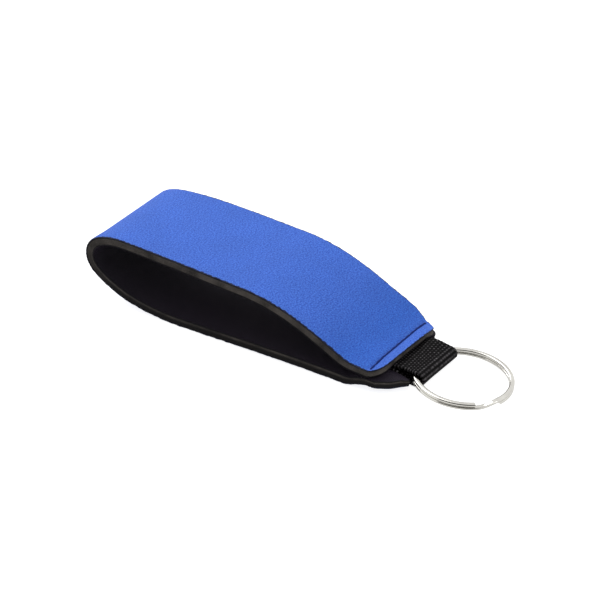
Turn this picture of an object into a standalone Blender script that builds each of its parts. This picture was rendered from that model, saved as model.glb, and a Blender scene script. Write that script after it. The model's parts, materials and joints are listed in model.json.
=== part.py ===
"""Wrist strap key holder: a foam-rubber band faced with knit, folded into a hand loop,
sewn across its ends over a folded webbing tab that carries a split ring.

Frame: +X from the hand loop towards the ring, +Y across the band, +Z up from the surface it lies on.
The construction is laid out from the seam: x = 0 is the line of stitches, y = 0 the middle of the band.
ORIGIN_X then moves everything so that the origin is under the middle of the whole length.
"""
import bpy
import bmesh
from math import cos, floor, hypot, pi, radians, sin, sqrt, tan
from mathutils import Matrix, Vector
from mathutils.geometry import interpolate_bezier

# Band: one flat strip, knit outside, foam core, knit lining inside
BAND_WIDTH = 0.038
BAND_THICKNESS = 0.003
JERSEY_THICKNESS = 0.00035
BOND_GAP = 0.00015

# Side outline of the hand loop, measured on the band's outer face
LOOP_LENGTH = 0.1008
LOOP_HEIGHT = 0.0238
CREST_FROM_FOLD = 0.015
CREST_REACH = 0.0095
NOSE_HEIGHT = 0.0155
NOSE_REACH_UP = 0.0055
NOSE_REACH_DOWN = 0.0075
LANDING_FROM_FOLD = 0.034
LANDING_REACH = 0.017
SHOULDER_FROM_STITCH = 0.045
SHOULDER_DROP = 0.0023
SHOULDER_REACH = 0.023
SHOULDER_SLOPE = 0.052
RAMP_REACH = 0.0125
RAMP_SLOPE = 0.12

# Seam: both ends of the band pressed together by one row of stitches
UPPER_FLAP = 0.0037
UPPER_NEAR_RADIUS = 0.0034
UPPER_FAR_RADIUS = 0.0034
UPPER_FLAP_RISE = 0.0003
LOWER_FLAP = 0.0046
LOWER_FAR_RADIUS = 0.0042
TONGUE_LENGTH = 0.0096
TONGUE_CUT = 0.78
TONGUE_SPREAD = 0.0018
TONGUE_DROOP = 0.0016
FAR_PULL_IN = 0.0019
PULL_IN_RUN = 0.006
EDGE_PINCH = 0.00245
UPPER_PINCH = 0.0019
LOWER_PINCH = 0.0017
PINCH_RUN = 0.012
PINCH_SPREAD = 0.0041
SEAM_CROWN = 0.0001
SEAM_GAP = 0.0001
LOWER_LIFT_RUN = 0.009
NEAR_TWIST_RUN = 0.010
FAR_TWIST_RUN = 0.010
SEAM_ROLL = radians(3.8)
SEAM_SKEW = radians(-0.8)
GROOVE_DEPTH = 0.0003
GROOVE_HALF_WIDTH = 0.0012

# Webbing tab: one piece folded round the ring, its two tails caught in the seam
WEB_WIDTH = 0.019
WEB_THICKNESS = 0.0010
WEB_GAP = 0.0001
WEB_CLEARANCE = 0.00015
TAIL_LENGTH = 0.008
TAB_REACH = 0.0145
FOLD_SKEW = radians(3.6)
PARTING_CLEARANCE = 0.0001

# Split ring: two flat turns of one wire
RING_DIAMETER = 0.030
WIRE_RADIAL = 0.00155
WIRE_HEIGHT = 0.0010
WIRE_CORNER = 0.0003
TURN_GAP = 0.00006
RING_CLEARANCE = 0.0002
RING_SIDE_SHIFT = -0.0008
RING_PITCH = radians(3.0)
RING_ROLL = radians(2.5)
JOGGLE_START = radians(-17)
JOGGLE_END = radians(-48)
END_BACKOFF = radians(1.5)

# Thread: one row of stitches across the band, a needle thread on top and a bobbin thread below
STITCH_PITCH = 0.0029
STITCH_RADIUS = 0.00015
STITCH_CLEARANCE = 0.0001
STITCH_ARCH = 0.0001
STITCH_MARGIN = 0.0012
STITCH_STEPS = 4
STITCH_SIDES = 6

FLOOR_CLEARANCE = 0.0002
RING_STEP = radians(12)
FLAP_SHARES = (0.25, 0.5, 0.75, 1.0)
OUTLINE_STEPS = {"ramp": 11, "back": 4, "nose": 7, "belly": 8}

# Sizes that follow from the ones above
HALF_WIDTH = BAND_WIDTH / 2
HALF_WEB = WEB_WIDTH / 2
WEB_SIDE = HALF_WEB + BOND_GAP
ROLL_SLOPE = tan(SEAM_ROLL)
SKEW_SLOPE = tan(SEAM_SKEW)
RING_OUTER = RING_DIAMETER / 2
RING_INNER = RING_OUTER - WIRE_RADIAL
RING_HEIGHT = 2 * WIRE_HEIGHT + TURN_GAP
TUNNEL_INNER = RING_HEIGHT / 2 + RING_CLEARANCE
TUNNEL_MIDDLE = TUNNEL_INNER + WEB_THICKNESS / 2
TUNNEL_OUTER = TUNNEL_INNER + WEB_THICKNESS
UPPER_PARTING = UPPER_FLAP - PARTING_CLEARANCE
LOWER_PARTING = LOWER_FLAP - PARTING_CLEARANCE

# Heights of the seam's pile: the thick middle lies on the surface at its far side, the edges stand clear of it
WEB_PILE = 2 * WEB_THICKNESS + WEB_GAP + 2 * WEB_CLEARANCE
MIDDLE_BOTTOM = FLOOR_CLEARANCE + HALF_WEB * ROLL_SLOPE
MIDDLE_TOP = MIDDLE_BOTTOM + LOWER_PINCH + WEB_PILE + UPPER_PINCH
EDGE_TOP = MIDDLE_TOP - SEAM_CROWN
EDGE_BOTTOM = EDGE_TOP - 2 * EDGE_PINCH - SEAM_GAP

# Ring: tilted about both axes, lying on its lowest edge, with its inner side close to the bottom of the fold
RING_TURN = Matrix.Rotation(-RING_ROLL, 3, "X") @ Matrix.Rotation(RING_PITCH, 3, "Y")
RING_NORMAL = RING_TURN @ Vector((0, 0, 1))
FOLD_X = TAB_REACH - TUNNEL_OUTER
RING_PLAY = sqrt(TUNNEL_INNER ** 2 - (RING_HEIGHT / 2) ** 2) - RING_CLEARANCE
RING_X = FOLD_X + sqrt(RING_INNER ** 2 - (HALF_WEB + abs(RING_SIDE_SHIFT)) ** 2) + RING_PLAY
RING_ON_FLOOR = RING_OUTER * hypot(RING_NORMAL.x, RING_NORMAL.y) + RING_HEIGHT / 2
TAB_DROP = (HALF_WEB + abs(RING_SIDE_SHIFT)) * tan(RING_ROLL)
TAB_ON_FLOOR = TUNNEL_OUTER + TAB_DROP - (RING_X - FOLD_X) * tan(RING_PITCH)
RING_Z = max(RING_ON_FLOOR, TAB_ON_FLOOR)

RING_REACH = RING_X + RING_OUTER * cos(RING_PITCH)
ORIGIN_X = (LOOP_LENGTH - RING_REACH) / 2


def smooth(t):
    """Ease from 0 to 1."""
    t = min(max(t, 0.0), 1.0)
    return t * t * (3 - 2 * t)


def over_webbing(y):
    """1 where the band lies over the webbing, falling to 0 towards the band's edges."""
    return 1 - min(max((abs(y) - WEB_SIDE) / PINCH_SPREAD, 0.0), 1.0)


def lower_lift(x):
    """How far the lower layer has left the surface, from 0 before the seam to 1 at it."""
    return smooth(1 + x / LOWER_LIFT_RUN)


def pinch(x):
    """How far the band is pressed together, from 0 in the loop to 1 at the seam."""
    return smooth(1 + x / PINCH_RUN)


def groove(x):
    """Depth that the stitches pull into the outer face."""
    return GROOVE_DEPTH * (1 - smooth(abs(x) / GROOVE_HALF_WIDTH))


def layer_thickness(x, y, upper):
    """Thickness of the band, from its outer face's plain level to its lining's face."""
    over = UPPER_PINCH if upper else LOWER_PINCH
    pressed = EDGE_PINCH + (over - EDGE_PINCH) * over_webbing(y)
    return BAND_THICKNESS + (pressed - BAND_THICKNESS) * pinch(x)


def twist(x, y):
    """How far the band has turned into the seam's own roll and skew."""
    return smooth(1 + x / (FAR_TWIST_RUN if y > 0 else NEAR_TWIST_RUN))


def seam_shift(x, y, upper):
    """Height added to the plain side outline near the seam: roll, crown and belly."""
    if upper:
        rolled = -y * ROLL_SLOPE * twist(x, y)
        return rolled + SEAM_CROWN * over_webbing(y) * pinch(x)
    belly = (EDGE_BOTTOM - MIDDLE_BOTTOM) * over_webbing(y)
    return (EDGE_BOTTOM - belly - y * ROLL_SLOPE) * lower_lift(x)


def skew_shift(x, y):
    """Length added along the band where the seam is sewn a little out of square."""
    return -y * SKEW_SLOPE * twist(x, y) * smooth((RING_X - RING_OUTER - x) / UPPER_FLAP)


def beside_webbing(y):
    """0 where the lower flap is under the webbing, 1 on the tongue that sticks out at its near side."""
    return smooth((-y - WEB_SIDE) / TONGUE_SPREAD)


def flap_end(y, upper):
    """Distance from the stitches to the cut end: rounded corners above, an oblique near side below."""
    if upper:
        length, radius = UPPER_FLAP, UPPER_FAR_RADIUS if y > 0 else UPPER_NEAR_RADIUS
    elif y > 0:
        length, radius = LOWER_FLAP, LOWER_FAR_RADIUS
    else:
        oblique = TONGUE_LENGTH - (-y - WEB_SIDE) * TONGUE_CUT
        return LOWER_FLAP + (oblique - LOWER_FLAP) * beside_webbing(y)
    into = max(abs(y) - (HALF_WIDTH - radius), 0.0)
    return length - radius + sqrt(max(radius ** 2 - into ** 2, 0.0))


def bezier(start, start_handle, end_handle, end, steps):
    """Points (x, z) along one stretch of the outline, without its last one."""
    knots = [Vector((x, 0, z)) for x, z in (start, start_handle, end_handle, end)]
    return [(p.x, p.z) for p in interpolate_bezier(*knots, steps + 1)][:-1]


def loop_outline():
    """Outer face of the band seen from its side, from the stitches over the top and back below."""
    stitch = (0.0, EDGE_TOP)
    shoulder = (-SHOULDER_FROM_STITCH, LOOP_HEIGHT - SHOULDER_DROP)
    crest = (CREST_FROM_FOLD - LOOP_LENGTH, LOOP_HEIGHT)
    nose = (-LOOP_LENGTH, NOSE_HEIGHT)
    landing = (LANDING_FROM_FOLD - LOOP_LENGTH, 0.0)
    ramp_out = (-RAMP_REACH, EDGE_TOP + RAMP_REACH * RAMP_SLOPE)
    shoulder_in = (shoulder[0] + SHOULDER_REACH, shoulder[1] - SHOULDER_REACH * SHOULDER_SLOPE)
    back = (crest[0] - shoulder[0]) / 3
    shoulder_out = (shoulder[0] + back, shoulder[1] - back * SHOULDER_SLOPE)
    crest_in = (crest[0] - back, crest[1])
    ramp = bezier(stitch, ramp_out, shoulder_in, shoulder, OUTLINE_STEPS["ramp"])
    top = bezier(shoulder, shoulder_out, crest_in, crest, OUTLINE_STEPS["back"])
    front = bezier(crest, (crest[0] - CREST_REACH, crest[1]), (nose[0], nose[1] + NOSE_REACH_UP), nose,
                   OUTLINE_STEPS["nose"])
    under = bezier(nose, (nose[0], nose[1] - NOSE_REACH_DOWN), (landing[0] - LANDING_REACH, 0.0), landing,
                   OUTLINE_STEPS["belly"])
    lift = [(-LOWER_LIFT_RUN * (1 - t), 0.0) for t in (0.0, 0.2, 0.4, 0.6, 0.8)]
    flat = [landing, ((landing[0] - LOWER_LIFT_RUN) / 2, 0.0)]
    upper = groove_rows(ramp) + top + front
    lower = under + flat + lift + [(-GROOVE_HALF_WIDTH, 0.0), (0.0, 0.0)]
    return [(x, z, True) for x, z in upper], [(x, z, False) for x, z in lower]


def groove_rows(ramp):
    """The ramp's points, with one more where the stitches' groove ends."""
    run, rise = ramp[1][0], ramp[1][1] - ramp[0][1]
    share = GROOVE_HALF_WIDTH / -run
    return [ramp[0], (-GROOVE_HALF_WIDTH, ramp[0][1] + rise * share)] + ramp[1:]


def band_rows():
    """Rows along the whole band: (x, z, inward normal, upper, share of the flap)."""
    upper, lower = loop_outline()
    loop = upper + lower
    rows = []
    for share in reversed(FLAP_SHARES):
        rows.append((0.0, EDGE_TOP + UPPER_FLAP_RISE * share, (0.0, -1.0), True, share))
    for i, (x, z, is_upper) in enumerate(loop):
        before = loop[max(i - 1, 0)]
        after = loop[min(i + 1, len(loop) - 1)]
        along = Vector((after[0] - before[0], after[1] - before[1])).normalized()
        rows.append((x, z, (-along.y, along.x), is_upper, 0.0))
    for share in FLAP_SHARES:
        rows.append((0.0, 0.0, (0.0, 1.0), False, share))
    return rows


def band_columns():
    """Places across the band: its edges, its rounded corners and the webbing's edges."""
    near = [HALF_WIDTH - UPPER_NEAR_RADIUS * k for k in (0.0, 0.15, 0.45, 1.0)]
    far = [HALF_WIDTH - LOWER_FAR_RADIUS * k for k in (0.0, 0.2, 0.6)]
    web = [WEB_SIDE, WEB_SIDE + PINCH_SPREAD]
    tongue = [WEB_SIDE + TONGUE_SPREAD * k for k in (0.5, 1.0)]
    wanted = sorted([-y for y in near + web + tongue] + [0.0] + far + web)
    columns = [wanted[0]]
    for y in wanted[1:]:
        if y - columns[-1] > 2 * BOND_GAP:
            columns.append(y)
    return columns


def band_point(row, y, depth):
    """A point of the band at one depth below its outer face."""
    x, z, normal, upper, share = row
    x += share * flap_end(y, upper)
    z += normal[1] * depth + seam_shift(x, y, upper)
    if not upper:
        z -= TONGUE_DROOP * beside_webbing(y) * smooth(x / LOWER_FLAP)
    pulled = max(y - WEB_SIDE, 0.0) / (HALF_WIDTH - WEB_SIDE)
    across = y - FAR_PULL_IN * pulled * smooth(1 + x / PULL_IN_RUN)
    return Vector((x + normal[0] * depth + skew_shift(x, y) + ORIGIN_X, across, z))


def row_x(row, y):
    return row[0] + row[4] * flap_end(y, row[3])


def new_material(name, color, roughness, metallic=0.0):
    material = bpy.data.materials.new(name)
    material.use_nodes = True
    shader = material.node_tree.nodes["Principled BSDF"]
    shader.inputs["Base Color"].default_value = (*color, 1.0)
    shader.inputs["Roughness"].default_value = roughness
    shader.inputs["Metallic"].default_value = metallic
    return material


def new_object(name, mesh_builder, material):
    """A named object from a bmesh, shaded smooth apart from its sharp edges."""
    bmesh.ops.recalc_face_normals(mesh_builder, faces=mesh_builder.faces)
    mesh = bpy.data.meshes.new(name)
    mesh_builder.to_mesh(mesh)
    mesh_builder.free()
    mesh.materials.append(material)
    mesh.shade_smooth()
    mesh.set_sharp_from_angle(angle=radians(35))
    obj = bpy.data.objects.new(name, mesh)
    bpy.context.scene.collection.objects.link(obj)
    return obj


def close_sheet(builder, outer, inner):
    """Faces of a closed sheet between two equal grids of vertices."""
    last_row, last_column = len(outer) - 1, len(outer[0]) - 1
    for i in range(last_row):
        for j in range(last_column):
            builder.faces.new((outer[i][j], outer[i + 1][j], outer[i + 1][j + 1], outer[i][j + 1]))
            builder.faces.new((inner[i][j], inner[i][j + 1], inner[i + 1][j + 1], inner[i + 1][j]))
    for i in range(last_row):
        for j in (0, last_column):
            builder.faces.new((outer[i][j], outer[i + 1][j], inner[i + 1][j], inner[i][j]))
    for j in range(last_column):
        for i in (0, last_row):
            builder.faces.new((outer[i][j], outer[i][j + 1], inner[i][j + 1], inner[i][j]))


def band_layer(name, top_depth, bottom_depth, material):
    """One layer of the band, between two depths that are functions of (x, y, upper)."""
    builder = bmesh.new()
    columns = band_columns()
    grids = []
    for depth in (top_depth, bottom_depth):
        grid = []
        for row in band_rows():
            points = [band_point(row, y, depth(row_x(row, y), y, row[3])) for y in columns]
            grid.append([builder.verts.new(point) for point in points])
        grids.append(grid)
    close_sheet(builder, *grids)
    return new_object(name, builder, material)


def ring_plane(x, y=0.0):
    """Height of the ring's middle plane."""
    return RING_Z - (RING_NORMAL.x * (x - RING_X) + RING_NORMAL.y * (y - RING_SIDE_SHIFT)) / RING_NORMAL.z


def lower_web_height(x):
    """Middle of the lower thickness of webbing: on the band's lining, then below the ring."""
    on_band = MIDDLE_BOTTOM * lower_lift(x) + layer_thickness(x, 0.0, False) + WEB_CLEARANCE + WEB_THICKNESS / 2
    parted = smooth((x - LOWER_PARTING) / (RING_X - RING_OUTER - LOWER_PARTING))
    return on_band + (ring_plane(x) - TUNNEL_MIDDLE - on_band) * parted


def upper_web_height(x):
    """Middle of the upper thickness of webbing: on the lower one, then over the ring."""
    on_lower = lower_web_height(min(x, LOWER_PARTING)) + WEB_THICKNESS + WEB_GAP
    parted = smooth((x - UPPER_PARTING) / (RING_X - RING_OUTER - UPPER_PARTING))
    return on_lower + (ring_plane(x) + TUNNEL_MIDDLE - on_lower) * parted


def web_line():
    """Middle line of the folded webbing, from the upper tail round the fold to the lower tail."""
    tail = [-TAIL_LENGTH * k for k in (1.0, 0.75, 0.5, 0.25, 0.0)]
    clear = RING_X - RING_OUTER
    parting = [LOWER_PARTING + (clear - LOWER_PARTING) * k for k in (-0.4, 0.0, 0.25, 0.5, 0.75, 1.0)]
    tunnel = [clear + (FOLD_X - clear) * 0.5]
    runs = tail + parting + tunnel
    upper = [(x, upper_web_height(x)) for x in runs]
    lower = [(x, lower_web_height(x)) for x in reversed(runs)]
    fold = []
    for i in range(9):
        angle = pi / 2 - pi * i / 8 - RING_PITCH
        fold.append((FOLD_X + TUNNEL_MIDDLE * cos(angle), ring_plane(FOLD_X) + TUNNEL_MIDDLE * sin(angle)))
    return upper + fold + lower


def tab_slope(x):
    """Sideways slope of the webbing: the seam's own, turning into the ring's."""
    parted = smooth((x - LOWER_PARTING) / (RING_X - RING_OUTER - LOWER_PARTING))
    return ROLL_SLOPE * lower_lift(x) * (1 - parted) + tan(RING_ROLL) * parted


def fold_shift(x, y):
    """How far the fold draws back towards its near side, where the ring's curve leaves room."""
    clear = RING_X - RING_OUTER
    return (HALF_WEB - y) * tan(FOLD_SKEW) * smooth((x - clear) / (FOLD_X - clear))


def webbing_tab(material):
    builder = bmesh.new()
    line = web_line()
    grids = [[], []]
    for i, (x, z) in enumerate(line):
        before, after = line[max(i - 1, 0)], line[min(i + 1, len(line) - 1)]
        along = Vector((after[0] - before[0], after[1] - before[1])).normalized()
        for grid, half in zip(grids, (WEB_THICKNESS / 2, -WEB_THICKNESS / 2)):
            px, pz = x - along.y * half, z + along.x * half
            grid.append([])
            for y in (-HALF_WEB, HALF_WEB):
                place = px + skew_shift(x, y) - fold_shift(x, y) + ORIGIN_X
                point = (place, y, pz - y * tab_slope(x))
                grid[-1].append(builder.verts.new(point))
    close_sheet(builder, *grids)
    return new_object("webbing_tab", builder, material)


def skin_loops(builder, loops):
    """Faces of a closed tube through equal loops of vertices, with its two ends."""
    count = len(loops[0])
    for one, two in zip(loops, loops[1:]):
        for k in range(count):
            builder.faces.new((one[k], one[(k + 1) % count], two[(k + 1) % count], two[k]))
    builder.faces.new(loops[0])
    builder.faces.new(loops[-1])


def wire_section():
    """Rounded section of the wire, as (radial, axial) offsets from its middle."""
    r, h, c = WIRE_RADIAL / 2, WIRE_HEIGHT / 2, WIRE_CORNER
    return [(r, h - c), (r - c, h), (c - r, h), (-r, h - c), (-r, c - h), (c - r, -h), (r - c, -h), (r, c - h)]


def wire_angles():
    """Angles along the wire, clockwise from the upper free end to the lower one."""
    first = JOGGLE_END + 2 * pi - END_BACKOFF
    last = JOGGLE_START - 2 * pi + END_BACKOFF
    stops = [first, JOGGLE_START, JOGGLE_END, last]
    steps = [max(round((first - JOGGLE_START) / RING_STEP), 8), 5, max(round((JOGGLE_END - last) / RING_STEP), 8)]
    angles = []
    for start, end, count in zip(stops, stops[1:], steps):
        angles += [start + (end - start) * i / count for i in range(count)]
    return angles + [last]


def split_ring(material):
    """The wire swept round its two turns, in the ring's own frame, then laid in its place."""
    builder = bmesh.new()
    middle = (RING_OUTER + RING_INNER) / 2
    level = (WIRE_HEIGHT + TURN_GAP) / 2
    loops = []
    for angle in wire_angles():
        height = level * (1 - 2 * smooth((JOGGLE_START - angle) / (JOGGLE_START - JOGGLE_END)))
        loop = []
        for radial, axial in wire_section():
            reach = middle + radial
            loop.append(builder.verts.new((reach * cos(angle), reach * sin(angle), height + axial)))
        loops.append(loop)
    skin_loops(builder, loops)
    ring = new_object("split_ring", builder, material)
    ring.rotation_mode = "QUATERNION"
    ring.rotation_quaternion = RING_TURN.to_quaternion()
    ring.location = (RING_X + ORIGIN_X, RING_SIDE_SHIFT, RING_Z)
    return ring


def stitch_row(name, upper, material):
    """One thread along the groove of the upper or the lower face, dipping at every needle hole."""
    builder = bmesh.new()
    row = next(row for row in band_rows() if row[0] == 0.0 and row[4] == 0.0 and row[3] == upper)
    lowest = GROOVE_DEPTH - STITCH_CLEARANCE - STITCH_RADIUS
    count = floor((BAND_WIDTH - 2 * STITCH_MARGIN) / STITCH_PITCH)
    loops = []
    for i in range(STITCH_STEPS * count + 1):
        along = (i / STITCH_STEPS - count / 2) * STITCH_PITCH
        arch = sin(pi * (i % STITCH_STEPS) / STITCH_STEPS)
        centre = band_point(row, along, lowest - STITCH_ARCH * arch)
        loop = []
        for n in range(STITCH_SIDES):
            angle = 2 * pi * n / STITCH_SIDES
            offset = Vector((cos(angle), 0.0, sin(angle))) * STITCH_RADIUS
            loop.append(builder.verts.new(centre + offset))
        loops.append(loop)
    skin_loops(builder, loops)
    return new_object(name, builder, material)


def clear_scene():
    for obj in list(bpy.data.objects):
        bpy.data.objects.remove(obj)


def build():
    clear_scene()
    blue_knit = new_material("blue_knit", (0.05, 0.14, 0.66), 0.8)
    foam = new_material("foam_rubber", (0.03, 0.028, 0.025), 0.9)
    black_knit = new_material("black_knit", (0.006, 0.006, 0.007), 0.9)
    webbing = new_material("black_webbing", (0.012, 0.012, 0.014), 0.7)
    nickel = new_material("nickel", (0.72, 0.70, 0.67), 0.18, 1.0)
    thread = new_material("blue_thread", (0.02, 0.05, 0.30), 0.6)

    skin = JERSEY_THICKNESS
    under_skin = JERSEY_THICKNESS + BOND_GAP
    band_layer("outer_jersey", lambda x, y, up: groove(x), lambda x, y, up: groove(x) + skin, blue_knit)
    band_layer("foam_core", lambda x, y, up: groove(x) + under_skin,
               lambda x, y, up: layer_thickness(x, y, up) - under_skin, foam)
    band_layer("lining_jersey", lambda x, y, up: layer_thickness(x, y, up) - skin, layer_thickness, black_knit)
    webbing_tab(webbing)
    split_ring(nickel)
    stitch_row("top_stitching", True, thread)
    stitch_row("bottom_stitching", False, thread)


build()
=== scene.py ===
# %% [markdown]
# # A foam-rubber wrist strap with a split ring
#
# The object is a flat band of foam rubber, faced with blue knit outside and black knit inside, folded
# into a hand loop and sewn shut over a folded piece of black webbing. The webbing carries a split ring.
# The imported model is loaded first. It is the frame that everything else is fitted to.

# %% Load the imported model
import bpy
import json
import numpy as np
from math import cos, degrees, pi, radians, sin, sqrt, tan
from mathutils import Matrix, Vector
from mathutils.geometry import interpolate_bezier


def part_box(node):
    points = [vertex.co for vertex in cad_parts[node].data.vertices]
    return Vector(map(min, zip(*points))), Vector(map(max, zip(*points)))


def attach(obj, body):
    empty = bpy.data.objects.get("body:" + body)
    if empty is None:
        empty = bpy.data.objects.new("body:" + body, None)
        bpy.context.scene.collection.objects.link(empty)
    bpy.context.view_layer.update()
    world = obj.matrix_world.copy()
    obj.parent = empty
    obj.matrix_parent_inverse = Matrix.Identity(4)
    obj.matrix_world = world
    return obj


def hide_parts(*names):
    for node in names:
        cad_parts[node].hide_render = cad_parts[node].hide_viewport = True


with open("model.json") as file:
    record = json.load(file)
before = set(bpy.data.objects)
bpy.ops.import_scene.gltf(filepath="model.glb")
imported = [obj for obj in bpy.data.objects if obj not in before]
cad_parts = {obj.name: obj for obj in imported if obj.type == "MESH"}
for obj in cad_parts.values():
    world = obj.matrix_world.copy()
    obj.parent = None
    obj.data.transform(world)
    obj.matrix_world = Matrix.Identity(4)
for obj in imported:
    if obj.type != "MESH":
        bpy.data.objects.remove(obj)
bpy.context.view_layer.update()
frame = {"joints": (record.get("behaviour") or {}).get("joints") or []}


def mm(length, digits=1):
    """A length in metres as rounded millimetres, for printing."""
    return round(float(length) * 1000, digits)


def put_in_scene(obj):
    bpy.context.scene.collection.objects.link(obj)


def select_only(obj):
    bpy.ops.object.select_all(action="DESELECT")
    bpy.context.view_layer.objects.active = obj
    obj.select_set(True)

# %% [markdown]
# ## The camera
#
# The photograph looks down on the strap from about 32 degrees above the table and 31 degrees round from
# its side, through a long lens. A camera can be aimed by eye or by a constraint, but its place was worked
# out from the band's outline, so the location and the turn are simply written down.

# %% Camera
camera_data = bpy.data.cameras.new("camera")
camera_data.sensor_width = 36.0
camera_data.lens = 108.0
camera = bpy.data.objects.new("camera", camera_data)
camera.location = (0.236772, -0.392825, 0.301496)
camera.rotation_euler = (radians(57.6317), radians(-0.1574), radians(31.4475))
camera_data.clip_start = 0.01
put_in_scene(camera)
bpy.context.scene.camera = camera
bpy.context.scene.view_settings.view_transform = "Standard"
print("camera stands", round(camera.location.length, 3), "m from the origin")

# %% [markdown]
# ## The sizes
#
# Everything is laid out from the seam: x is the distance past the line of stitches, y is the place across
# the band, and z is the height above the table. One list of sizes drives the solids and these finer
# pieces alike, so the two always lie in the same place.

# %% Sizes of the band, the seam, the webbing and the ring
MM = 0.001
BAND_WIDTH, BAND_THICKNESS, JERSEY_THICKNESS = 38 * MM, 3 * MM, 0.35 * MM
LOOP_LENGTH, LOOP_HEIGHT = 100.8 * MM, 23.8 * MM
CREST_FROM_FOLD, CREST_REACH = 15 * MM, 9.5 * MM
NOSE_HEIGHT, NOSE_REACH_UP, NOSE_REACH_DOWN = 15.5 * MM, 5.5 * MM, 7.5 * MM
LANDING_FROM_FOLD, LANDING_REACH = 34 * MM, 17 * MM
SHOULDER_FROM_STITCH, SHOULDER_DROP, SHOULDER_REACH, SHOULDER_SLOPE = 45 * MM, 2.3 * MM, 23 * MM, 0.052
RAMP_REACH, RAMP_SLOPE = 12.5 * MM, 0.12
UPPER_FLAP, UPPER_NEAR_RADIUS, UPPER_FAR_RADIUS, UPPER_FLAP_RISE = 3.7 * MM, 3.4 * MM, 3.4 * MM, 0.3 * MM
LOWER_FLAP, LOWER_FAR_RADIUS = 4.6 * MM, 4.2 * MM
TONGUE_LENGTH, TONGUE_CUT, TONGUE_SPREAD = 9.6 * MM, 0.78, 1.8 * MM
FAR_PULL_IN, PULL_IN_RUN = 1.9 * MM, 6 * MM
EDGE_PINCH, UPPER_PINCH, LOWER_PINCH = 2.45 * MM, 1.9 * MM, 1.7 * MM
PINCH_RUN, PINCH_SPREAD, SEAM_CROWN, SEAM_GAP = 12 * MM, 4.1 * MM, 0.1 * MM, 0.1 * MM
LOWER_LIFT_RUN, NEAR_TWIST_RUN, FAR_TWIST_RUN = 9 * MM, 10 * MM, 10 * MM
ROLL_SLOPE, SKEW_SLOPE = tan(radians(3.8)), tan(radians(-0.8))
GROOVE_DEPTH, GROOVE_HALF_WIDTH = 0.3 * MM, 1.2 * MM
WEB_WIDTH, WEB_THICKNESS, WEB_GAP, WEB_CLEARANCE = 19 * MM, 1.0 * MM, 0.1 * MM, 0.15 * MM
TAIL_LENGTH, TAB_REACH, FOLD_SKEW, PARTING_CLEARANCE = 8 * MM, 14.5 * MM, radians(3.6), 0.1 * MM
RING_DIAMETER, WIRE_RADIAL, WIRE_HEIGHT = 30 * MM, 1.55 * MM, 1.0 * MM
TURN_GAP, RING_CLEARANCE, RING_SIDE_SHIFT = 0.06 * MM, 0.2 * MM, -0.8 * MM
RING_PITCH, RING_ROLL = radians(3.0), radians(2.5)
JOGGLE_START, JOGGLE_END, END_BACKOFF = radians(-17), radians(-48), radians(1.5)
BOND_GAP, FLOOR_CLEARANCE = 0.15 * MM, 0.2 * MM

HALF_WIDTH, HALF_WEB = BAND_WIDTH / 2, WEB_WIDTH / 2
WEB_SIDE = HALF_WEB + BOND_GAP
RING_OUTER = RING_DIAMETER / 2
RING_INNER = RING_OUTER - WIRE_RADIAL
RING_HEIGHT = 2 * WIRE_HEIGHT + TURN_GAP
TUNNEL_INNER = RING_HEIGHT / 2 + RING_CLEARANCE
TUNNEL_MIDDLE = TUNNEL_INNER + WEB_THICKNESS / 2
TUNNEL_OUTER = TUNNEL_INNER + WEB_THICKNESS
UPPER_PARTING = UPPER_FLAP - PARTING_CLEARANCE
LOWER_PARTING = LOWER_FLAP - PARTING_CLEARANCE
WEB_PILE = 2 * WEB_THICKNESS + WEB_GAP + 2 * WEB_CLEARANCE
MIDDLE_BOTTOM = FLOOR_CLEARANCE + HALF_WEB * ROLL_SLOPE
EDGE_TOP = MIDDLE_BOTTOM + LOWER_PINCH + WEB_PILE + UPPER_PINCH - SEAM_CROWN
EDGE_BOTTOM = EDGE_TOP - 2 * EDGE_PINCH - SEAM_GAP
RING_TURN = Matrix.Rotation(-RING_ROLL, 3, "X") @ Matrix.Rotation(RING_PITCH, 3, "Y")
RING_NORMAL = RING_TURN @ Vector((0, 0, 1))
FOLD_X = TAB_REACH - TUNNEL_OUTER
ring_spin = frame["joints"][0]
RING_CENTRE = Vector(ring_spin["pos_m"])
RING_PLAY = sqrt(TUNNEL_INNER ** 2 - (RING_HEIGHT / 2) ** 2) - RING_CLEARANCE
RING_X = FOLD_X + sqrt(RING_INNER ** 2 - (HALF_WEB + abs(RING_SIDE_SHIFT)) ** 2) + RING_PLAY
ORIGIN_X = (LOOP_LENGTH - RING_X - RING_OUTER * cos(RING_PITCH)) / 2
print("seam at x =", round(ORIGIN_X, 5))
print("ring centre off by", round(abs(RING_X + ORIGIN_X - RING_CENTRE.x), 6))

# %% [markdown]
# ## The band's path
#
# Seen from the side the band is one line: from the stitches up the slope, over the back, round the blunt
# fold and home along the table. A curve object could carry it, but the seam needs its own twist and
# pinch, so the line is sampled from Bezier stretches and kept as plain numbers.

# %% Side outline of the band
RAMP_ROWS, BACK_ROWS, CREST_ROWS, FOLD_ROWS, TABLE_ROWS = 130, 70, 40, 70, 130


def ease(t):
    """Runs from 0 to 1 with a soft start and a soft end."""
    t = np.clip(t, 0.0, 1.0)
    return t * t * (3 - 2 * t)


def stretch(start, start_handle, end_handle, end, steps):
    """Points (x, z) of one stretch, without its last one."""
    knots = [Vector((x, 0, z)) for x, z in (start, start_handle, end_handle, end)]
    return [(p.x, p.z) for p in interpolate_bezier(*knots, steps + 1)][:-1]


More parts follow.
